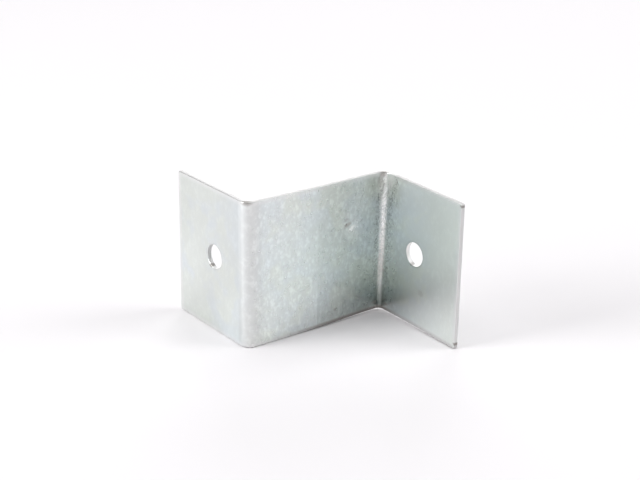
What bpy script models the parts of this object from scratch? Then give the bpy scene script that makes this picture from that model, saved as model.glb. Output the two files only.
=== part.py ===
# Cranked connecting bracket: a strip of zinc-plated sheet steel, punched with one screw hole near
# each end and folded twice, in opposite directions, into a Z that joins two members set a step apart.
#
# The model follows the way the bracket is made. A flat blank is drawn with its holes, marked out
# along the bend zones, and then folded by a formula that keeps the neutral line at its own length.
# The strip stands on one long edge: the web runs along X, the flanges along Y, the width along Z.
# The origin is the middle of the footprint, at floor level.

import math

import bmesh
import bpy

# Sheet and folds, in metres
strip_width = 0.040
gauge = 0.0012
flange_length = 0.032  # free end to the outside corner of the bend
step_clear = 0.043  # clear distance between the two flanges, across the step
bend_angle = math.radians(90)
inside_radius = 0.0015
neutral_share = 0.42  # how far through the gauge the neutral line lies, from the inside of a bend

# Screw holes
hole_diameter = 0.0066
hole_from_end = 0.0172
hole_height = 0.0208  # above the lower long edge

# Cut edges: the punch rolls one face over, and the other keeps a small broken burr
corner_radius = 0.0005
rollover = 0.00022
burr_break = 0.00008

# Long edges at a bend: the squeezed inside swells past the strip, the stretched outside draws in
edge_swell = 0.0001
swell_reach = 0.0018  # how far in from the edge the metal moves

# Fineness of the facets
bend_steps = 12
hole_steps = 48
corner_steps = 4
swell_rows = 3
rounding_steps = 2

# How edges and faces are told apart
weld_distance = 0.0000001
same_plane = math.radians(1)  # between facets of one flat face
sheared_angle = math.radians(60)  # between a face and a cut wall
sharp_angle = math.radians(35)  # shaded as a sharp edge

zinc_colour = (0.62, 0.65, 0.64, 1.0)
zinc_roughness = 0.42
zinc_metallic = 0.9

# Developed sizes of the blank
neutral_radius = inside_radius + neutral_share * gauge
bend_allowance = neutral_radius * bend_angle
flange_flat = flange_length - (inside_radius + gauge) * math.tan(bend_angle / 2)
bends_step = 2 * inside_radius * (1 - math.cos(bend_angle)) - gauge * math.cos(bend_angle)
web_flat = (step_clear - bends_step) / math.sin(bend_angle)
blank_length = web_flat + 2 * (bend_allowance + flange_flat)

# The rounded edges leave some of the sheared wall, and stay inside the corner's own arc
most_of_gauge = 0.4
most_of_corner = 0.8
rolled_width = min(rollover, most_of_gauge * gauge, most_of_corner * corner_radius)
burr_width = min(burr_break, rolled_width)


def arc(centre, radius, start, sweep, steps):
    """Points along an arc, both ends included."""
    angles = [start + sweep * step / steps for step in range(steps + 1)]
    return [(centre[0] + radius * math.cos(a), centre[1] + radius * math.sin(a)) for a in angles]


def strip_outline():
    """The cropped strip, lower left corner first, with its middle at x = 0."""
    reach = blank_length / 2 - corner_radius
    quarter = math.pi / 2
    corners = [
        ((-reach, corner_radius), 2 * quarter),
        ((reach, corner_radius), 3 * quarter),
        ((reach, strip_width - corner_radius), 0),
        ((-reach, strip_width - corner_radius), quarter),
    ]
    points = []
    for centre, start in corners:
        points += arc(centre, corner_radius, start, quarter, corner_steps)
    return points


def hole_outline(side):
    centre = (side * (blank_length / 2 - hole_from_end), hole_height)
    return arc(centre, hole_diameter / 2, 0, 2 * math.pi, hole_steps)[:-1]


def blank_curve():
    """The punched blank as a filled outline: x along the strip, y across it, z through the gauge."""
    curve = bpy.data.curves.new("blank", "CURVE")
    curve.dimensions = "2D"
    curve.fill_mode = "BOTH"
    curve.extrude = gauge / 2
    for points in (strip_outline(), hole_outline(-1), hole_outline(1)):
        spline = curve.splines.new("POLY")
        spline.points.add(len(points) - 1)
        for point, (x, y) in zip(spline.points, points):
            point.co = (x, y, 0, 1)
        spline.use_cyclic_u = True
    return bpy.data.objects.new("blank", curve)


def blank_mesh():
    """The blank as one closed mesh, with each flat face whole again after the curve's fill."""
    drawn = blank_curve()
    bpy.context.scene.collection.objects.link(drawn)
    graph = bpy.context.evaluated_depsgraph_get()
    mesh = bpy.data.meshes.new_from_object(drawn.evaluated_get(graph))
    outline = drawn.data
    bpy.data.objects.remove(drawn)
    bpy.data.curves.remove(outline)
    blank = bmesh.new()
    blank.from_mesh(mesh)
    bpy.data.meshes.remove(mesh)
    bmesh.ops.remove_doubles(blank, verts=blank.verts, dist=weld_distance)
    bmesh.ops.recalc_face_normals(blank, faces=blank.faces)
    bmesh.ops.dissolve_limit(blank, angle_limit=same_plane, verts=blank.verts, edges=blank.edges)
    return blank


def in_bend(x):
    return 0 < abs(x) - web_flat / 2 < bend_allowance


def cut(blank, place, normal, faces):
    edges = {edge for face in faces for edge in face.edges}
    verts = {vert for face in faces for vert in face.verts}
    geometry = [*verts, *edges, *faces]
    bmesh.ops.bisect_plane(blank, geom=geometry, dist=weld_distance, plane_co=place, plane_no=normal)


def mark_bends(blank):
    """Cuts the blank across at every bend step, and along the strip near its edges within a bend."""
    for side in (-1, 1):
        for step in range(bend_steps + 1):
            x = side * (web_flat / 2 + bend_allowance * step / bend_steps)
            cut(blank, (x, 0, 0), (1, 0, 0), list(blank.faces))
    for row in range(1, swell_rows + 1):
        inset = swell_reach * row / swell_rows
        for y in (inset, strip_width - inset):
            bent = [face for face in blank.faces if in_bend(face.calc_center_median().x)]
            cut(blank, (0, y, 0), (0, 1, 0), bent)


def mark_edges(blank):
    """Weights the cut edges for rounding: full on the punch side, less on the burr side."""
    weight = blank.edges.layers.float.new("bevel_weight_edge")
    for edge in blank.edges:
        if len(edge.link_faces) == 2 and edge.calc_face_angle() > sheared_angle:
            ends = [vert.co.z for vert in edge.verts]
            if ends[0] * ends[1] > 0:  # along a face, not down a wall
                edge[weight] = 1 if ends[0] > 0 else burr_width / rolled_width


def edge_shift(across, depth, share):
    """Movement along the width of a point in a bend, from its depth under the inside face."""
    nearest = min(across, strip_width - across)
    fade = max(0, 1 - nearest / swell_reach) ** 2
    squeeze = 1 - depth / (neutral_share * gauge)
    outward = 1 if across > strip_width / 2 else -1
    return outward * edge_swell * squeeze * fade * math.sin(math.pi * share)


def folded(point):
    """Where a point of the blank comes to lie. Each half of the Z is the other, turned half round."""
    side = 1 if point.x > 0 else -1
    past_web = abs(point.x) - web_flat / 2
    depth = gauge / 2 - side * point.z
    height = point.y + edge_swell
    if past_web <= 0:
        return side * abs(point.x), side * (depth - gauge / 2), height
    share = min(1, past_web / bend_allowance)
    turned = share * bend_angle
    radius = inside_radius + depth
    beyond = max(0, past_web - bend_allowance)
    x = web_flat / 2 + radius * math.sin(turned) + beyond * math.cos(turned)
    y = radius * math.cos(turned) - beyond * math.sin(turned) - inside_radius - gauge / 2
    return side * x, side * y, height + edge_shift(point.y, depth, share)


def zinc_plate():
    material = bpy.data.materials.new("zinc_plate")
    material.use_nodes = True
    shader = material.node_tree.nodes["Principled BSDF"]
    shader.inputs["Base Color"].default_value = zinc_colour
    shader.inputs["Roughness"].default_value = zinc_roughness
    shader.inputs["Metallic"].default_value = zinc_metallic
    return material


def cranked_bracket():
    blank = blank_mesh()
    mark_bends(blank)
    mark_edges(blank)
    for vert in blank.verts:
        vert.co = folded(vert.co)
    mesh = bpy.data.meshes.new("cranked_bracket")
    blank.to_mesh(mesh)
    blank.free()
    mesh.shade_smooth()
    mesh.set_sharp_from_angle(angle=sharp_angle)
    bracket = bpy.data.objects.new("cranked_bracket", mesh)
    mesh.materials.append(zinc_plate())
    rounding = bracket.modifiers.new("cut_edges", "BEVEL")
    rounding.limit_method = "WEIGHT"
    rounding.width = rolled_width
    rounding.segments = rounding_steps
    rounding.loop_slide = False
    rounding.use_clamp_overlap = False
    return bracket


for old in list(bpy.data.objects):
    bpy.data.objects.remove(old)

parts = bpy.data.collections.new("cranked_connecting_bracket")
bpy.context.scene.collection.children.link(parts)
parts.objects.link(cranked_bracket())
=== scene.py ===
import math

import bpy
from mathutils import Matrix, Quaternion, Vector


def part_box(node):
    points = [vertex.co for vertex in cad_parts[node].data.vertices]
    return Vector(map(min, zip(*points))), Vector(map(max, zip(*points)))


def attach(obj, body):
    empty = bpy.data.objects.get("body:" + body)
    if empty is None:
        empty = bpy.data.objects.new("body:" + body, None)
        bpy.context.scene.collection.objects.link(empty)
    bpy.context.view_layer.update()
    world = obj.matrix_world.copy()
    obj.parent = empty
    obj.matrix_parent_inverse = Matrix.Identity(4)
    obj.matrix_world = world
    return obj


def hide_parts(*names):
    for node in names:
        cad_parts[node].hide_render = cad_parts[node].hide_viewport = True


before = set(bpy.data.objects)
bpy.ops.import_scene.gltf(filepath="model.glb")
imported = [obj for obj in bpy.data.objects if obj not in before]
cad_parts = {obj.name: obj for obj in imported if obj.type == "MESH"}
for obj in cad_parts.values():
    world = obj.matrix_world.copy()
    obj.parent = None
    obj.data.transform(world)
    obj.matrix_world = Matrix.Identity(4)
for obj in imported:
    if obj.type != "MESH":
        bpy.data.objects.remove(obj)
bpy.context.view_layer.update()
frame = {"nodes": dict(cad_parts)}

print("frame loaded:", ", ".join(frame["nodes"]))


# Nodes, in plain Python


class Wire:  # one socket of a node, usable in expressions
    def __init__(self, graph, node, output=0):
        self.graph = graph
        self.node = node
        self.socket = pickSocket(node.outputs, output) if node.outputs else None

    def of(self, output):  # another output of the same node
        return Wire(self.graph, self.node, output)

    def math(self, operation, *others):
        return self.graph.math(operation, self, *others)

    def __add__(self, other):
        return self.math("ADD", other)

    def __sub__(self, other):
        return self.math("SUBTRACT", other)

    def __mul__(self, other):
        return self.math("MULTIPLY", other)

    def __truediv__(self, other):
        return self.math("DIVIDE", other)

    def __pow__(self, other):
        return self.math("POWER", other)

    def __rsub__(self, other):
        return self.graph.math("SUBTRACT", other, self)

    def __rtruediv__(self, other):
        return self.graph.math("DIVIDE", other, self)

    def __neg__(self):
        return self.math("MULTIPLY", -1)

    __radd__ = __add__
    __rmul__ = __mul__

    def sin(self):
        return self.math("SINE")

    def cos(self):
        return self.math("COSINE")

    def size(self):
        return self.math("ABSOLUTE")

    def sign(self):
        return self.math("SIGN")

    def above(self, level):
        return self.math("GREATER_THAN", level)

    def below(self, level):
        return self.math("LESS_THAN", level)

    def atLeast(self, level):
        return self.math("MAXIMUM", level)

    def atMost(self, level):
        return self.math("MINIMUM", level)

    def unit(self):  # held between 0 and 1
        return self.atLeast(0).atMost(1)

    def ramp(self, low, high):  # 0 at low, 1 at high, smooth between
        values = {"Value": self, "From Min": low, "From Max": high}
        return self.graph.node("ShaderNodeMapRange", {"interpolation_type": "SMOOTHSTEP"}, values)

    def fade(self, low, high):  # 1 at low, 0 at high
        return 1 - self.ramp(low, high)

    def hump(self, middle, reach):  # 1 at the middle, fading to 0 at its reach
        return (self - middle).size().fade(0, reach)


class Graph:  # adds nodes to one tree
    def __init__(self, tree):
        self.tree = tree

    def node(self, kind, settings=None, values=None):
        node = self.tree.nodes.new(kind)
        for name, setting in (settings or {}).items():
            setattr(node, name, setting)
        for key, value in (values or {}).items():
            self.feed(pickSocket(node.inputs, key), value)
        return Wire(self, node)

    def feed(self, socket, value):
        if isinstance(value, list):
            for one in value:
                self.feed(socket, one)
        elif isinstance(value, Wire):
            self.tree.links.new(value.socket, socket)
        else:
            socket.default_value = value

    def math(self, operation, *values):
        return self.node("ShaderNodeMath", {"operation": operation}, dict(enumerate(values)))

    def vector(self, operation, *values):
        return self.node("ShaderNodeVectorMath", {"operation": operation}, dict(enumerate(values)))

    def point(self, x, y, z):
        return self.node("ShaderNodeCombineXYZ", None, {"X": x, "Y": y, "Z": z})

    def axes(self, vector):
        split = self.node("ShaderNodeSeparateXYZ", None, {"Vector": vector})
        return split, split.of("Y"), split.of("Z")

    def noise(self, place, size, detail, seed):
        values = {"Vector": place, "W": seed, "Scale": 1 / size, "Detail": detail}
        return self.node("ShaderNodeTexNoise", {"noise_dimensions": "4D"}, values)

    def mix(self, share, first, second):  # of numbers
        return first + (second - first) * share

    def blend(self, share, first, second, kind="MIX"):  # of colours
        settings = {"data_type": "RGBA", "blend_type": kind, "clamp_factor": True}
        values = {"Factor": share, "A": first, "B": second}
        return self.node("ShaderNodeMix", settings, values).of("Result")

    def tint(self, colour, other, share=1.0):  # a colour times another one or a number
        return self.blend(share, colour, other, "MULTIPLY")


def pickSocket(sockets, key):
    if isinstance(key, int):
        return sockets[key]
    return next(socket for socket in sockets if socket.name == key and socket.enabled)


# Camera

camera = {
    "place": Vector((-0.210455, -0.277943, 0.160515)),
    "towards": Vector((0.564600, 0.741975, -0.361524)),
    "roll": math.radians(0.944),
    "lens": 80.35,
    "sensor": 36.0,
    "nearest": 0.01,
}


def addCamera(name, spec):
    data = bpy.data.cameras.new(name)
    data.lens = spec["lens"]
    data.sensor_width = spec["sensor"]
    data.clip_start = spec["nearest"]
    eye = bpy.data.objects.new(name, data)
    bpy.context.scene.collection.objects.link(eye)
    eye.location = spec["place"]
    level = spec["towards"].to_track_quat("-Z", "Y")
    eye.rotation_mode = "QUATERNION"
    eye.rotation_quaternion = level @ Quaternion((0, 0, 1), spec["roll"])
    bpy.context.scene.camera = eye


addCamera("camera", camera)
print("camera placed")


# The folded strip

cadLow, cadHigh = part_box("cranked_bracket")

strip = {
    "stripWidth": 0.040,
    "gauge": 0.0012,
    "insideRadius": 0.0015,
    "neutralShare": 0.42,  # how deep the neutral line lies, from the inside of a bend
    "holeDiameter": 0.0066,
    "holeFromEnd": 0.0172,
    "rearHoleHeight": 0.0210,  # above the strip's lower edge
    "frontHoleHeight": 0.0204,
    "cornerRadius": 0.0005,
    "rollover": 0.00015,  # the rounded rim on the punch side
    "burr": 0.00008,
    "tearRoughness": 0.00004,
    "tearSize": 0.0009,
    "tearStarts": 0.4,  # how deep in the gauge the torn part of a cut starts, is whole and ends
    "tearWhole": 0.55,
    "tearEnds": 0.75,
    "smoothTear": 0.3,  # how torn the smooth part of a cut still is, and its burr
    "burrTear": 0.6,
    "standsAt": 0.0001,  # the lower edge, above the floor
    "creaseLift": 0.00080,  # the strip stands a little off the table at its inner crease
    "topLift": 0.35,  # the share of that lift at the upper edge
    "liftStarts": -0.35,  # along the web, where its middle is 0 and a bend starts at 1
    "liftEnds": 1.05,
    "creaseGrowth": 0.00110,  # how much the inner crease's radius opens out on its way up
    "growthLevel": 0.3,  # the share of the width at which that radius is insideRadius
    "creaseDrift": 0.00028,  # how far along the strip the crease's line moves on its way up
    "driftStarts": 0.006,
    "driftEnds": 0.020,
    "edgeSwell": 0.00006,  # at a bend's ends, out on the squeezed side and in on the stretched one
    "swellReach": 0.0026,
    "waviness": 0.00004,
    "wavinessSize": 0.022,
    "dentX": 0.0102,  # from the middle of the web
    "dentHeight": 0.0267,
    "dentSize": 0.0015,
    "dentDepth": 0.00012,
    "seed": 4.0,
}
strip["stepClear"] = cadHigh.x - cadLow.x - 2 * strip["gauge"]
strip["flangeLength"] = cadHigh.y + strip["gauge"] / 2

cells = {
    "web": 40,  # from the middle of the web to a bend
    "bend": 12,
    "flange": 60,
    "width": 44,  # from the middle of the strip to a long edge
    "window": 9,  # half the square of cells that gives way to a hole's rings
    "rings": 10,
    "ringCrowding": 1.7,
    "crowding": 0.9,  # how strongly the cells close up towards the cut edges
    "rimSteps": 3,
    "weld": 0.000001,
}

quarterTurn = math.pi / 2


def flatSizes(size):  # half the flat web, a bend's allowance, a flat flange
    webHalf = size["stepClear"] / 2 - size["insideRadius"]
    allowance = (size["insideRadius"] + size["gauge"] * size["neutralShare"]) * quarterTurn
    flange = size["flangeLength"] - size["insideRadius"] - size["gauge"]
    return webHalf, allowance, flange


def crowded(share, sine):  # share of the way to an edge, with its cells closing up
    return share + (sine - share) * cells["crowding"]


def holeColumn(size):  # the cell line across the strip that is nearest to a hole's middle
    flange = flatSizes(size)[2]
    wanted = (flange - size["holeFromEnd"]) / (flange - size["rollover"])

    def distance(cell):
        share = cell / cells["flange"]
        return abs(crowded(share, math.sin(share * quarterTurn)) - wanted)

    return cells["web"] + cells["bend"] + min(range(cells["flange"]), key=distance)


def keep(graph, geometry, name, value, kind="FLOAT"):
    values = {"Geometry": geometry, "Name": name, "Value": value}
    return graph.node("GeometryNodeStoreNamedAttribute", {"data_type": kind}, values)


def kept(graph, name, kind="FLOAT"):
    return graph.node("GeometryNodeInputNamedAttribute", {"data_type": kind}, {"Name": name})


def here(graph):
    return graph.node("GeometryNodeInputPosition")


def move(graph, geometry, place, selection=True):
    values = {"Geometry": geometry, "Selection": selection, "Position": place}
    return graph.node("GeometryNodeSetPosition", None, values)


def cellGrid(graph, width, height):  # a sheet of unit cells about the origin
    values = {"Size X": width, "Size Y": height, "Vertices X": width + 1, "Vertices Y": height + 1}
    return graph.node("GeometryNodeMeshGrid", None, values)


def holeRings(graph):
    # Rings of cells, from a hole's circle out to a square of cell lines
    limit = cells["window"]
    around = 8 * limit
    x, y = graph.axes(here(graph))[:2]
    turn = x + around / 2
    out = (y / cells["rings"] + 0.5) ** cells["ringCrowding"]

    def side(shift):  # a zigzag wave with its tips cut off runs round a square
        wave = limit * 2 - ((turn + shift).math("MODULO", around) - around / 2).size()
        return wave.atLeast(-limit).atMost(limit)

    marked = keep(graph, cellGrid(graph, around, cells["rings"]), "fromHole", out)
    return move(graph, marked, graph.point(side(0), side(around / 4), 0))


def cellSheet(graph, column):
    # The strip's punch face in unit cells, with rings for each hole let into it
    along = cells["web"] + cells["bend"] + cells["flange"]
    grid = keep(graph, cellGrid(graph, 2 * along, 2 * cells["width"]), "fromHole", 1.0)
    x, y = graph.axes(here(graph))[:2]
    window = (x.size() - column).size().below(cells["window"]) * y.size().below(cells["window"])
    values = {"Geometry": grid, "Selection": window}
    pieces = [graph.node("GeometryNodeDeleteGeometry", {"domain": "FACE"}, values)]
    rings = holeRings(graph)
    for place in (-column, column):
        values = {"Geometry": rings, "Translation": (place, 0, 0)}
        pieces.append(graph.node("GeometryNodeTransform", None, values))
    return graph.node("GeometryNodeJoinGeometry", None, {"Geometry": pieces})


def flatSheet(graph, size, flat, sheet):
    # Cells become lengths: x along the strip and y across it, with round corners and holes
    x, y = graph.axes(here(graph))[:2]
    column = x.size()
    share = ((column - cells["web"] - cells["bend"]) / cells["flange"]).unit()
    end = crowded(share, (share * quarterTurn).sin()) * (flat["flange"] - size["rollover"])
    bend = ((column - cells["web"]) / cells["bend"]).unit() * flat["allowance"]
    along = (column / cells["web"]).unit() * flat["webHalf"] + bend + end
    part = y.size() / cells["width"]
    reach = size["stripWidth"] / 2 - size["rollover"]
    across = crowded(part, (part * quarterTurn).sin()) * reach

    # The last square of each corner is drawn in to a quarter circle
    radius = size["cornerRadius"] - size["rollover"]
    u = ((along - flat["half"] + size["cornerRadius"]) / radius).atLeast(0)
    v = ((across - reach + radius) / radius).atLeast(0)
    spare = 1 - u.atLeast(v) / (u * u + v * v).math("SQRT").atLeast(0.001)  # never divided by 0
    along = (along - radius * u * spare) * x.sign()
    across = (across - radius * v * spare) * y.sign()

    # Rings go from the circle to where their own cell lines are
    awayX = along - flat["holeX"]
    awayY = across - flat["holeY"]
    away = (awayX * awayX + awayY * awayY).math("SQRT")
    circle = (size["holeDiameter"] / 2 + size["rollover"]) / away
    pull = graph.mix(kept(graph, "fromHole"), circle, 1)
    along = flat["holeX"] + awayX * pull
    across = flat["holeY"] + awayY * pull + size["stripWidth"] / 2
    placed = move(graph, sheet, graph.point(along, across, size["gauge"] / 2))
    values = {"Geometry": placed, "Distance": cells["weld"]}
    return graph.node("GeometryNodeMergeByDistance", None, values)


def outwards(graph, size, flat):
    # Off the metal and square to the cut edge, for a point on an edge of the flat sheet
    x, y = graph.axes(here(graph))[:2]
    middle = y - size["stripWidth"] / 2
    square = size["stripWidth"] / 2 - size["cornerRadius"]
    u = (x.size() - flat["half"] + size["cornerRadius"]).atLeast(0) * x.sign()
    v = (middle.size() - square).atLeast(0) * middle.sign()
    outline = graph.vector("NORMALIZE", graph.point(u, v, 0))
    inwards = graph.point(flat["holeX"] - x, flat["holeY"] - middle, 0)
    hole = graph.vector("NORMALIZE", inwards)
    atHole = kept(graph, "fromHole").below(0.5)
    values = {"Factor": atHole, "A": outline, "B": hole}
    return graph.node("ShaderNodeMix", {"data_type": "VECTOR"}, values).of("Result")


def rimSection(size):
    # From the punch face to the far face: how far out, how deep, and how torn
    rolled, burr, gauge = size["rollover"], size["burr"], size["gauge"]
    smooth = size["smoothTear"]
    turns = [step / cells["rimSteps"] * quarterTurn for step in range(cells["rimSteps"] + 1)]
    section = []
    for turn in turns[1:]:
        section.append((rolled * (math.sin(turn) - 1), rolled * (1 - math.cos(turn)), smooth))
    section.append((0, gauge * size["tearStarts"], smooth))
    section += [(0, gauge * size["tearWhole"], 1), (0, gauge * size["tearEnds"], 1)]
    for turn in turns[:-1]:
        depth = gauge + burr * (math.sin(turn) - 1)
        section.append((burr * (math.cos(turn) - 1), depth, size["burrTear"]))
    section += [(-burr, gauge, 0), (-rolled, gauge, 0)]
    return section


def cutEdges(graph, size, flat, sheet):
    # Each edge is drawn out ring by ring, and the far face closes the strip
    sheet = keep(graph, sheet, "outwards", outwards(graph, size, flat), "FLOAT_VECTOR")
    sheet = keep(graph, sheet, "rim", here(graph), "FLOAT_VECTOR")
    down = graph.point(0, 0, -size["gauge"])
    lowered = graph.node("GeometryNodeTransform", None, {"Geometry": sheet, "Translation": down})
    farFace = graph.node("GeometryNodeFlipFaces", None, {"Mesh": lowered})
    edges = graph.node("GeometryNodeInputMeshEdgeNeighbors").below(2)
    rim = kept(graph, "rim", "FLOAT_VECTOR")
    tear = graph.noise(rim, size["tearSize"], detail=3, seed=size["seed"] + 2) - 0.5
    tear = tear * size["tearRoughness"]
    for outset, depth, torn in rimSection(size):
        values = {"Mesh": sheet, "Selection": edges, "Offset Scale": 0}
        grown = graph.node("GeometryNodeExtrudeMesh", {"mode": "EDGES"}, values)
        edges = grown.of("Top")
        out = graph.vector("SCALE", kept(graph, "outwards", "FLOAT_VECTOR"))
        graph.feed(pickSocket(out.node.inputs, "Scale"), size["rollover"] + outset + tear * torn)
        place = graph.vector("SUBTRACT", graph.vector("ADD", rim, out), graph.point(0, 0, depth))
        sheet = move(graph, grown, place, edges)
    joined = graph.node("GeometryNodeJoinGeometry", None, {"Geometry": [sheet, farFace]})
    values = {"Geometry": joined, "Distance": cells["weld"]}
    return graph.node("GeometryNodeMergeByDistance", None, values)


def unevenness(graph, size, place):
    # The sheet's slight waves, and a dent in the web
    x, y = graph.axes(place)[:2]
    wave = graph.noise(place, size["wavinessSize"], detail=1, seed=size["seed"]) - 0.5
    dentX = (x - size["dentX"]) / size["dentSize"]
    dentY = (y - size["dentHeight"]) / size["dentSize"]
    dent = (-(dentX * dentX + dentY * dentY)).math("EXPONENT") * size["dentDepth"]
    return wave * size["waviness"] - dent


def edgeSwell(size, y, depth, share):
    # The squeezed inside of a bend swells past the strip's edges, the stretched outside draws in
    nearEdge = (1 - y.atMost(size["stripWidth"] - y) / size["swellReach"]).atLeast(0) ** 2
    squeeze = 1 - depth / (size["neutralShare"] * size["gauge"])
    outward = (y - size["stripWidth"] / 2).sign()
    return outward * size["edgeSwell"] * squeeze * nearEdge * (share * math.pi).sin()


def creaseLift(graph, size, flat, x, y):
    # How far each point stands off the table, most at the foot of the inner crease
    rise = x.ramp(flat["webHalf"] * size["liftStarts"], flat["webHalf"] * size["liftEnds"])
    fall = ((x - flat["webHalf"]) / (flat["half"] - flat["webHalf"])).unit()
    upwards = graph.mix(y / size["stripWidth"], 1, size["topLift"])
    return size["creaseLift"] * rise * (1 - fall * fall) * upwards


def fold(graph, size, flat, sheet):
    # Each half of the strip is folded like the other, turned half round
    place = here(graph)
    x, y, z = graph.axes(place)
    front = x.above(0)
    side = front * 2 - 1
    depth = size["gauge"] / 2 - side * z

    # The inner crease opens out and drifts on its way up, and the flange beyond gives way for that
    grow = size["creaseGrowth"] * front * (y / size["stripWidth"] - size["growthLevel"])
    drift = size["creaseDrift"] * front * y.ramp(size["driftStarts"], size["driftEnds"])
    past = x.size() - flat["webHalf"] + grow - drift
    bend = flat["allowance"] + grow * quarterTurn
    spare = drift - grow * (2 - quarterTurn)
    beyond = (past - bend).atLeast(0) * (1 + spare / flat["flange"])

    share = (past / bend).unit()
    turn = share * quarterTurn
    inside = size["insideRadius"] + grow
    radius = inside + depth - side * unevenness(graph, size, place)
    reach = flat["webHalf"] - grow + drift + past.atMost(0)
    reach = reach + radius * turn.sin() + beyond * turn.cos() - drift * beyond / flat["flange"]
    step = radius * turn.cos() - beyond * turn.sin() - inside - size["gauge"] / 2
    up = y + edgeSwell(size, y, depth, share) + creaseLift(graph, size, flat, x, y)
    return move(graph, sheet, graph.point(side * reach, side * step, up + size["standsAt"]))


def stripTree(column):
    tree = bpy.data.node_groups.new("foldedStrip", "GeometryNodeTree")
    tree.interface.new_socket("strip", in_out="OUTPUT", socket_type="NodeSocketGeometry")
    for name in strip:
        tree.interface.new_socket(name, in_out="INPUT", socket_type="NodeSocketFloat")
    tree.interface.new_socket("finish", in_out="INPUT", socket_type="NodeSocketMaterial")
    graph = Graph(tree)
    entry = graph.node("NodeGroupInput")
    size = {name: entry.of(name) for name in strip}
    webHalf, allowance, flange = flatSizes(size)
    half = webHalf + allowance + flange
    front = graph.axes(here(graph))[0].above(0)
    holeHeight = graph.mix(front, size["rearHoleHeight"], size["frontHoleHeight"])
    flat = {
        "webHalf": webHalf, "allowance": allowance, "flange": flange, "half": half,
        "holeX": (front * 2 - 1) * (half - size["holeFromEnd"]),
        "holeY": holeHeight - size["stripWidth"] / 2,
    }
    sheet = flatSheet(graph, size, flat, cellSheet(graph, column))
    whole = cutEdges(graph, size, flat, sheet)
    whole = keep(graph, whole, "developed", here(graph), "FLOAT_VECTOR")
    z = graph.axes(here(graph))[2]
    cut = (size["gauge"] / 2 - z.size()) / size["rollover"]
    whole = keep(graph, whole, "cut", cut.unit())
    folded = fold(graph, size, flat, whole)
    smooth = graph.node("GeometryNodeSetShadeSmooth", None, {"Geometry": folded})
    real = graph.node("GeometryNodeRealizeInstances", None, {"Geometry": smooth})
    values = {"Geometry": real, "Material": entry.of("finish")}
    coated = graph.node("GeometryNodeSetMaterial", None, values)
    graph.node("NodeGroupOutput", None, {"strip": coated})
    return tree


def foldedStrip(name, finish):
    piece = bpy.data.objects.new(name, bpy.data.meshes.new(name + "Seed"))
    bpy.context.scene.collection.objects.link(piece)
    folding = piece.modifiers.new("folding", "NODES")
    folding.node_group = stripTree(holeColumn(strip))
    settings = {**strip, "finish": finish}
    for item in folding.node_group.interface.items_tree:
        if item.in_out == "INPUT":
            folding[item.identifier] = settings[item.name]
    graph = bpy.context.evaluated_depsgraph_get()
    mesh = bpy.data.meshes.new_from_object(piece.evaluated_get(graph))
    mesh.name = name
    piece.modifiers.remove(folding)
    mesh.materials.clear()
    mesh.materials.append(finish)
    piece.data = mesh
    return piece


# Zinc finish

zinc = {
    "plate": (0.725, 0.763, 0.749, 1),
    "blue": (0.710, 0.755, 0.765, 1),
    "straw": (0.740, 0.775, 0.730, 1),
    "rubbed": (0.737, 0.746, 0.734, 1),
    "sea": (0.957, 1.0, 0.997, 1),  # this one and the next seven multiply what is under them
    # the inner corner's painted shade, from here to neck
    "webShade": (0.832, 0.834, 0.828, 1),
    "lowShade": (0.860, 0.872, 0.864, 1),
    "topShade": (0.80, 0.808, 0.803, 1),
    "cornerTop": (0.92, 0.935, 0.925, 1),
    "cornerMiddle": (0.87, 0.925, 0.952, 1),
    "recess": (0.65, 0.69, 0.68, 1),
    "neck": (0.62, 0.63, 0.62, 1),
    "rimWearAndHighlight": (0.790, 0.795, 0.790, 1),
    # the cut walls by place: darker on the front flange as painted shade, lighter at the end and near
    # white in the front hole as painted light
    "sheared": (0.570, 0.562, 0.562, 1),
    "frontSheared": (0.500, 0.490, 0.490, 1),
    "endWall": (0.740, 0.735, 0.735, 1),
    "holeWall": (0.740, 0.730, 0.730, 1),
    "frontHoleWall": (0.980, 0.970, 0.960, 1),
    # squeezed metal of the crease, and the colour of painted highlights
    "coinedAndHighlight": (0.98, 1.0, 0.985, 1),
    # stains, and the colour of painted shade
    "stainAndShade": (0.27, 0.25, 0.23, 1),
    # painted shade at the crease's foot, and painted highlights beside it
    "foot": (0.540, 0.520, 0.495, 1),
    "roughness": 0.30,
    "roughnessMottle": 0.2,
    "coinedRoughness": 0.38,
    "shearedRoughness": 0.55,
    "shearedDullness": 0.55,  # how much less metallic a cut edge is
    "reliefHeight": 0.000008,
    "reliefMottle": 0.7,
    "reliefGrain": 0.3,
    "coinedHeight": 0.00008,
    "shearedHeight": 0.00001,
    "fleckStretch": (1.5, 1.0, 1.0),  # flecks stand across the strip
    "lively": (0.3, 0.7, 0.35, -1.1),  # everywhere, then more on the web, by the crease, on the flange
    "fine": (0.1, 0.7, 0.6, -1.2),
}

noises = {  # size, detail, seed
    "cloud": (0.012, 3, 1.3),
    "patch": (0.008, 2, 2.3),
    "mottle": (0.0020, 2, 3.3),
    "grain": (0.0009, 2, 4.3),
    "speckle": (0.0005, 1, 5.3),
}

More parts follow.
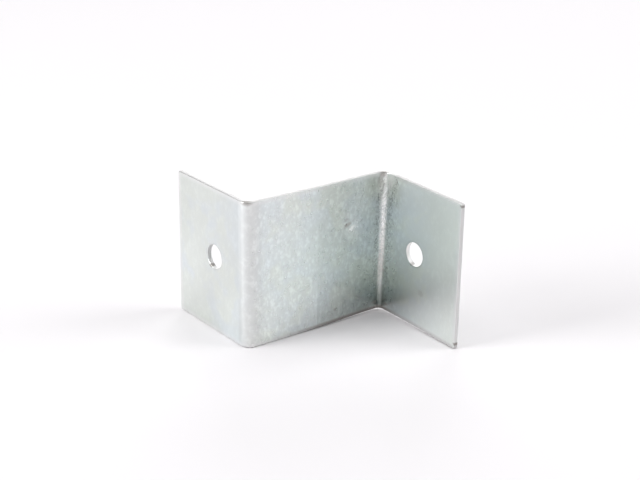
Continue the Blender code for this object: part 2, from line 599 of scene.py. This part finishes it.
spans = {  # where an effect changes, from its start to its end
    # along the developed strip, from the middle of the web
    "onWeb": (-0.0235, -0.0195),
    "byCrease": (0.0, 0.018),
    "onFlange": (0.0245, 0.0325),
    "pastRearBend": (-0.028, -0.022),
    "strawAlong": (0.030, 0.050),
    "seaBegins": (-0.028, -0.004),
    "seaEnds": (0.004, 0.024),
    "rearAlong": (-0.0245, -0.0235),
    "rearFootAlong": (-0.038, -0.026),
    "wallAlong": (0.018, 0.024),
    "lowEdgeShadeBegins": (-0.018, 0.010),
    "lowEdgeShadeEnds": (0.022, 0.030),
    # up from the lower edge
    "wideUp": (0.020, 0.034),
    "lowUp": (0.003, 0.019),
    "highUp": (0.015, 0.030),
    "recessUp": (0.001, 0.022),
    "neckUp": (0.002, 0.008),
    "rearUp": (0.012, 0.034),
    "rearFootUp": (0.004, 0.018),
    "bendFootUp": (0.001, 0.017),
    "flangeFootUp": (0.003, 0.016),
    "flangeTopUp": (0.018, 0.030),
    "creaseTurnUp": (0.031, 0.041),
    "coinedBegins": (0.0, 0.015),
    "coinedEnds": (0.0385, 0.0400),
    "leftBorderUp": (0.014, 0.032),
    "coinedFootUp": (0.008, 0.034),
    "coinedDimUp": (0.020, 0.030),
    "lowEdgeShadeUp": (0.0004, 0.0014),
    # away from the crease
    "wideBegins": (-0.002, 0.007),
    "wideAway": (0.010, 0.027),
    "lowAway": (0.014, 0.034),
    "highAway": (0.0025, 0.0085),
    "nearAway": (0.003, 0.017),
    "neckAway": (0.0008, 0.0026),
    "flangeTopBegins": (0.001, 0.003),
    "flangeTopAway": (0.005, 0.022),
    "coinedAway": (0.0009, 0.0016),
    "borderBegins": (0.0010, 0.0016),
    "borderEnds": (0.0018, 0.0036),
    # away from a hole or an edge
    "ringAway": (0.0, 0.0008),
    "rimAway": (0.0002, 0.0016),
    # of a pattern, and of the reach of a mark
    "clouds": (0.38, 0.62),
    "patches": (0.46, 0.62),
    "flecks": (0.0, 0.26),
    "pits": (-0.12, 0.06),
    "mark": (0.3, 1),
}

humps = {  # middle and reach, along the developed strip or up it
    "rubbedAlong": (-0.0208, 0.0042),
    "seaUp": (0.019, 0.026),
    "cornerUp": (0.021, 0.015),
    "bendLineAlong": (-0.0193, 0.0028),
    "bendFootAlong": (-0.015, 0.009),
}

amounts = {  # how much of an effect there is
    "rearPatches": 0.08,
    "straw": 0.75,
    "frontStraw": 0.6,
    "rubbed": 0.8,
    "mottle": 0.28,
    "mottleFloor": -0.15,
    "flecks": 0.10,
    "fleckShift": 0.02,
    "grain": 0.10,
    "cloud": 0.12,
    "wideTopLess": 0.10,
    "near": 0.85,
    "nearFlangeLess": 0.42,
    "bendLine": 0.075,
    "rear": 0.015,
    "rearTop": 0.075,
    "rearFoot": 0.11,
    "bendFoot": 0.08,
    "flangeFoot": 0.08,
    "flangeTop": 0.19,
    "creaseLean": 0.034,
    "creaseShift": 0.00019,
    "creaseTurn": 0.0022,
    "raggedGrain": 0.0032,
    "raggedSpeckle": 0.0014,
    "border": 0.02,
    "leftBorder": 0.14,
    "borderPits": 0.30,
    "pitGrain": 0.6,
    "coinedAndHighlight": 0.92,
    "coinedPits": 0.6,
    "coinedTone": 1.02,
    "coinedGrain": 1.2,
    "coinedSpeckle": 1.0,
    "coinedDim": 0.11,
    "endWall": 0.0004,  # how far these two walls reach
    "holeWall": 0.001,
    "ring": 0.06,
    "frontRing": 0.12,
    "rim": 0.6,
    "wall": 0.9,
    "lowEdgeShade": 0.92,
    "lowEdgeShadeEndLess": 0.7,
    "markLooseness": 0.0014,
}

marks = {  # place along the developed strip and across it, reach each way, lean, strength, colour
    # painted shade at the tops of both bends, reaching a little down the crease
    "bendTop": (-0.0217, 0.0398, 0.0016, 0.0009, 0, 0.6, "stainAndShade"),
    "creaseTop": (0.0218, 0.0395, 0.0019, 0.0015, 0, 0.75, "stainAndShade"),
    "creaseNeck": (0.0206, 0.0375, 0.0014, 0.0030, 0, 0.40, "stainAndShade"),
    # a painted highlight on the flange by the crease's top
    "creaseShoulder": (0.0243, 0.0385, 0.0036, 0.0026, 0, 0.55, "coinedAndHighlight"),
    "smudge": (0.0385, 0.0104, 0.0015, 0.0012, 0, 0.22, "stainAndShade"),
    "speck": (0.0061, 0.0036, 0.0008, 0.0008, 0, 0.5, "stainAndShade"),
    # painted shade above and left of the dent, and a painted highlight below and right of it
    "dentSide": (0.0098, 0.0272, 0.0021, 0.0008, 1.2, 0.55, "stainAndShade"),
    "dentTop": (0.0092, 0.0287, 0.0012, 0.0006, 0.6, 0.35, "stainAndShade"),
    "dentHighlight": (0.0112, 0.0260, 0.0014, 0.0010, 0.6, 0.6, "coinedAndHighlight"),
    # painted highlights either side of the crease's foot
    "footOfWeb": (0.01945, 0.0020, 0.0012, 0.0006, 0, 0.6, "foot"),
    "footOfFlange": (0.0246, 0.0019, 0.0013, 0.0006, 0, 0.6, "foot"),
    "endTop": (0.05245, 0.0393, 0.0006, 0.0006, 0, 0.8, "stainAndShade"),
    "endFoot": (0.05245, 0.0014, 0.0007, 0.0007, 0, 0.9, "stainAndShade"),
    # painted shade at the lower rims of the two holes
    "holeBlob": (-0.0369, 0.0181, 0.0009, 0.0007, 0, 0.8, "stainAndShade"),
    "holeFoot": (0.0343, 0.0175, 0.0011, 0.0007, 0, 0.45, "stainAndShade"),
}


def spread(zones, levels):  # one level everywhere, and more in each zone
    level = levels[0]
    for zone, more in zip(zones, levels[1:]):
        level = level + zone * more
    return level


def places(graph):
    # Where a point lies on the developed strip, and how lively its mottling is
    place = graph.node("ShaderNodeAttribute", {"attribute_name": "developed"}).of("Vector")
    x, y, z = graph.axes(place)
    webHalf, allowance, flange = flatSizes(strip)
    half = webHalf + allowance + flange
    front = x.above(0)
    holeX = x.size() - half + strip["holeFromEnd"]
    holeY = y - graph.mix(front, strip["rearHoleHeight"], strip["frontHoleHeight"])
    zones = [x.ramp(*spans[name]) for name in ("onWeb", "byCrease", "onFlange")]
    return {
        "place": place, "x": x, "y": y, "front": front, "onFlange": zones[2],
        "crease": x - (webHalf + allowance / 2),
        "inner": (x * z).above(0) * front,
        "cut": graph.node("ShaderNodeAttribute", {"attribute_name": "cut"}).of("Fac"),
        "end": half - x.size(),
        "edge": y.atMost(strip["stripWidth"] - y).atMost(half - x.size()),
        "hole": (holeX * holeX + holeY * holeY).math("SQRT") - strip["holeDiameter"] / 2,
        "lively": spread(zones, zinc["lively"]),
        "fine": spread(zones, zinc["fine"]),
    }


def patterns(graph, at):
    standing = graph.vector("MULTIPLY", at["place"], zinc["fleckStretch"])
    return {
        "cloud": graph.noise(at["place"], *noises["cloud"]),
        "patch": graph.noise(at["place"], *noises["patch"]),
        "mottle": graph.noise(standing, *noises["mottle"]) - 0.5,
        "grain": graph.noise(standing, *noises["grain"]) - 0.5,
        "speckle": graph.noise(at["place"], *noises["speckle"]) - 0.5,
    }


def plated(graph, at, pattern):
    # Passivated zinc in faint clouds with light flecks, most of them on the web
    x, y = at["x"], at["y"]
    colour = graph.blend(pattern["cloud"].ramp(*spans["clouds"]), zinc["plate"], zinc["blue"])
    patch = pattern["patch"] + x.fade(*spans["pastRearBend"]) * amounts["rearPatches"]
    frontStraw = x.ramp(*spans["strawAlong"]) * amounts["frontStraw"]
    straw = (patch.ramp(*spans["patches"]) * amounts["straw"]).atLeast(frontStraw)
    colour = graph.blend(straw, colour, zinc["straw"])
    colour = graph.blend(x.hump(*humps["rubbedAlong"]) * amounts["rubbed"], colour, zinc["rubbed"])
    sea = y.hump(*humps["seaUp"]) * x.ramp(*spans["seaBegins"]) * x.fade(*spans["seaEnds"])
    colour = graph.tint(colour, zinc["sea"], sea)
    flecks = (pattern["mottle"] + pattern["grain"]).ramp(*spans["flecks"])
    tone = pattern["mottle"].atLeast(amounts["mottleFloor"]) * amounts["mottle"]
    tone = (tone + flecks * amounts["flecks"] - amounts["fleckShift"]) * at["lively"]
    tone = 1 + tone + pattern["grain"] * at["fine"] * amounts["grain"]
    return graph.tint(colour, tone + (pattern["cloud"] - 0.5) * amounts["cloud"])


def cornerShade(graph, at, colour):
    # The inner corner's shade, painted as duller zinc because the plain lights give too little of it
    y = at["y"]
    away = at["crease"].size()
    onWeb = at["inner"] * at["crease"].below(0)
    wide = away.fade(*spans["wideAway"]) * away.ramp(*spans["wideBegins"]) * onWeb
    wide = wide * (1 - y.ramp(*spans["wideUp"]) * amounts["wideTopLess"])
    colour = graph.tint(colour, zinc["webShade"], wide)
    low = y.fade(*spans["lowUp"]) * away.fade(*spans["lowAway"]) * onWeb
    colour = graph.tint(colour, zinc["lowShade"], low)
    high = y.ramp(*spans["highUp"]) * away.fade(*spans["highAway"]) * onWeb
    colour = graph.tint(colour, zinc["topShade"], high)
    level = amounts["near"] - at["crease"].above(0) * amounts["nearFlangeLess"]
    near = away.fade(*spans["nearAway"]) * at["inner"] * level
    middle = graph.blend(y.hump(*humps["cornerUp"]), zinc["cornerTop"], zinc["cornerMiddle"])
    colour = graph.tint(colour, middle, near)
    colour = graph.tint(colour, zinc["recess"], near * y.fade(*spans["recessUp"]))
    neck = y.fade(*spans["neckUp"]) * away.fade(*spans["neckAway"]) * at["inner"]
    return graph.tint(colour, zinc["neck"], neck)


def lightness(graph, at, colour):
    # Painted light and shade too: the rear flange and its bend darker, the feet and the front flange's
    # top lighter
    x, y, crease = at["x"], at["y"], at["crease"]
    bend = x.hump(*humps["bendLineAlong"]) * amounts["bendLine"]
    rear = amounts["rear"] + y.ramp(*spans["rearUp"]) * amounts["rearTop"]
    rear = rear - y.fade(*spans["rearFootUp"]) * x.ramp(*spans["rearFootAlong"]) * amounts["rearFoot"]
    dark = bend + x.fade(*spans["rearAlong"]) * rear
    bendFoot = y.fade(*spans["bendFootUp"]) * x.hump(*humps["bendFootAlong"]) * amounts["bendFoot"]
    flangeFoot = y.fade(*spans["flangeFootUp"]) * at["onFlange"] * amounts["flangeFoot"]
    flangeTop = y.ramp(*spans["flangeTopUp"]) * crease.ramp(*spans["flangeTopBegins"])
    flangeTop = flangeTop * amounts["flangeTop"] * crease.size().fade(*spans["flangeTopAway"])
    return graph.tint(colour, 1 - dark + bendFoot + flangeFoot + flangeTop)


def coinedCreaseAndHighlight(graph, at, pattern, colour):
    # Squeezed metal of the crease, rough, its bright band partly a painted highlight, between dark
    # pitted borders
    y = at["y"]
    turn = y.ramp(*spans["creaseTurnUp"]) * amounts["creaseTurn"]
    aside = at["crease"] - (y * amounts["creaseLean"] - amounts["creaseShift"] + turn)
    ragged = aside.size() + pattern["grain"] * amounts["raggedGrain"]
    ragged = ragged + pattern["speckle"] * amounts["raggedSpeckle"]
    within = y.ramp(*spans["coinedBegins"]) * y.fade(*spans["coinedEnds"]) * at["inner"]
    coinedAndHighlight = ragged.fade(*spans["coinedAway"]) * within
    pits = (pattern["speckle"] + pattern["grain"] * amounts["pitGrain"]).fade(*spans["pits"])

    border = ragged.ramp(*spans["borderBegins"]) * ragged.fade(*spans["borderEnds"]) * within
    left = aside.below(0) * y.ramp(*spans["leftBorderUp"]) * amounts["leftBorder"]
    dark = border * (amounts["border"] + left + pits * amounts["borderPits"])
    colour = graph.tint(colour, 1 - dark)

    # Painted shade: the band darker towards its foot, and a little dimmer in its upper part
    bare = graph.blend(y.fade(*spans["coinedFootUp"]), zinc["coinedAndHighlight"], zinc["foot"])
    tone = amounts["coinedTone"] + pattern["grain"] * amounts["coinedGrain"]
    tone = tone + pattern["speckle"] * amounts["coinedSpeckle"]
    bare = graph.tint(bare, tone - y.ramp(*spans["coinedDimUp"]) * amounts["coinedDim"])
    cover = coinedAndHighlight * (amounts["coinedAndHighlight"] - pits * amounts["coinedPits"])
    return coinedAndHighlight, graph.blend(cover, colour, bare)


def edgesWearAndPaintedLight(graph, at, colour):
    # Cut edges, wear and painted highlights on the rims, a darker ring round each hole, and painted
    # shade along the lower edge
    x, y = at["x"], at["y"]
    # Painted shade on the front flange's cut walls, painted light on the end's wall and in the front
    # hole
    wall = graph.blend(x.ramp(*spans["wallAlong"]), zinc["sheared"], zinc["frontSheared"])
    wall = graph.blend(at["end"].below(amounts["endWall"]), wall, zinc["endWall"])
    punched = graph.blend(at["front"], zinc["holeWall"], zinc["frontHoleWall"])
    wall = graph.blend(at["hole"].below(amounts["holeWall"]), wall, punched)
    ring = at["hole"].fade(*spans["ringAway"]) * (amounts["ring"] + at["front"] * amounts["frontRing"])
    colour = graph.tint(colour, 1 - ring)
    # Rims near the edges: wear, and a painted highlight where the rounded rim catches the light
    colour = graph.blend(at["edge"].fade(*spans["rimAway"]) * amounts["rim"], colour, zinc["rimWearAndHighlight"])
    colour = graph.blend(at["cut"] * amounts["wall"], colour, wall)
    # Painted shade along the web's lower edge, fading past the crease
    under = y.fade(*spans["lowEdgeShadeUp"]) * x.ramp(*spans["lowEdgeShadeBegins"])
    under = under * (1 - x.ramp(*spans["lowEdgeShadeEnds"]) * amounts["lowEdgeShadeEndLess"])
    return graph.blend(under * amounts["lowEdgeShade"], colour, zinc["stainAndShade"])


def marked(graph, at, pattern, colour):
    # Stains, painted shade and painted highlights, each a soft oval with a loose outline
    looseX = at["x"] + pattern["grain"] * amounts["markLooseness"]
    looseY = at["y"] + pattern["mottle"] * amounts["markLooseness"]
    for x, y, reachX, reachY, lean, strength, kind in marks.values():
        along = (looseX - x) / reachX
        across = (looseY - y) / reachY - along * lean
        away = (along * along + across * across).math("SQRT")
        colour = graph.blend(away.fade(*spans["mark"]) * strength, colour, zinc[kind])
    return colour


def zincFinish():
    finish = bpy.data.materials.new("zincPlate")
    finish.use_nodes = True
    finish.node_tree.nodes.clear()
    graph = Graph(finish.node_tree)
    at = places(graph)
    pattern = patterns(graph, at)
    colour = cornerShade(graph, at, plated(graph, at, pattern))
    coinedAndHighlight, colour = coinedCreaseAndHighlight(graph, at, pattern, lightness(graph, at, colour))
    colour = marked(graph, at, pattern, edgesWearAndPaintedLight(graph, at, colour))

    roughness = zinc["roughness"] + pattern["mottle"] * at["lively"] * zinc["roughnessMottle"]
    roughness = graph.mix(coinedAndHighlight, roughness, zinc["coinedRoughness"])
    roughness = graph.mix(at["cut"], roughness, zinc["shearedRoughness"])
    height = pattern["mottle"] * zinc["reliefMottle"] + pattern["grain"] * zinc["reliefGrain"]
    rough = coinedAndHighlight * zinc["coinedHeight"] + at["cut"] * zinc["shearedHeight"]
    height = height * at["fine"] * zinc["reliefHeight"] + pattern["grain"] * rough
    relief = graph.node("ShaderNodeBump", None, {"Strength": 1.0, "Distance": 1.0, "Height": height})
    surface = graph.node("ShaderNodeBsdfPrincipled", None, {
        "Base Color": colour,
        "Metallic": 1 - at["cut"] * zinc["shearedDullness"],
        "Roughness": roughness,
        "Normal": relief,
    })
    graph.node("ShaderNodeOutputMaterial", None, {"Surface": surface})
    return finish


bracket = foldedStrip("foldedStrip", zincFinish())
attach(bracket, "root")
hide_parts("cranked_bracket")
print("strip folded:", len(bracket.data.polygons), "faces")


# Table and light

studio = {
    "tableSize": 3.0,
    "tableColour": (0.915, 0.895, 0.915, 1),
    "tableGlow": 0.02,  # seen and mirrored, but no light on the bracket
    "left": Vector((-0.79930, 0.60074, 0)),  # of the picture, along the table
    "back": Vector((0.60553, 0.79583, 0)),
}

lamps = {  # left, back, up, size, light at the table's middle
    "topBox": (0.0, 0.0, 1.2, 1.2, 0.566),
    "topFrontBox": (0.0, -0.35, 1.2, 1.0, 0.132),
    "leftBox": (1.3, -0.3, 0.5, 0.9, 0.402),
    "lowLeftBox": (1.13, -0.41, 0.26, 0.5, 0.594),
    "rightBox": (-0.9, 0.0, 0.9, 0.7, 0.204),
    "lowRightBox": (-1.3, 0.1, 0.5, 0.9, 0.237),
    "backBox": (0.0, 1.4, 0.5, 0.9, 0.430),
}


def table():
    bpy.ops.mesh.primitive_plane_add(size=studio["tableSize"])
    top = bpy.context.object
    top.name = "table"
    finish = bpy.data.materials.new("whiteTable")
    finish.use_nodes = True
    finish.node_tree.nodes.clear()
    graph = Graph(finish.node_tree)
    lit = graph.node("ShaderNodeBsdfDiffuse", None, {"Color": studio["tableColour"]})
    ray = graph.node("ShaderNodeLightPath")
    seen = ray.of("Is Camera Ray") + ray.of("Is Glossy Ray") + ray.of("Is Transmission Ray")
    glow = graph.node("ShaderNodeEmission", None, {"Strength": seen.atMost(1) * studio["tableGlow"]})
    surface = graph.node("ShaderNodeAddShader", None, {0: lit, 1: glow})
    graph.node("ShaderNodeOutputMaterial", None, {"Surface": surface})
    top.data.materials.append(finish)
    return top


def lamp(name, left, back, up, size, light):
    data = bpy.data.lights.new(name, "AREA")
    data.size = size
    place = studio["left"] * left + studio["back"] * back + Vector((0, 0, up))
    data.energy = light * (math.pi * place.length) ** 2
    box = bpy.data.objects.new(name, data)
    bpy.context.scene.collection.objects.link(box)
    box.location = place
    box.rotation_mode = "QUATERNION"
    box.rotation_quaternion = (-place).to_track_quat("-Z", "Y")


def room():
    # White beyond the table's far edge, where a low view meets it, and no light on the bracket
    world = bpy.data.worlds.new("room")
    world.use_nodes = True
    world.node_tree.nodes.clear()
    graph = Graph(world.node_tree)
    ray = graph.node("ShaderNodeLightPath")
    values = {"Color": (1, 1, 1, 1), "Strength": ray.of("Is Camera Ray")}
    walls = graph.node("ShaderNodeBackground", None, values)
    graph.node("ShaderNodeOutputWorld", None, {"Surface": walls})
    bpy.context.scene.world = world


table()
room()
for name, spec in lamps.items():
    lamp(name, *spec)
bpy.context.scene.view_settings.view_transform = "Standard"
print("table and light placed")
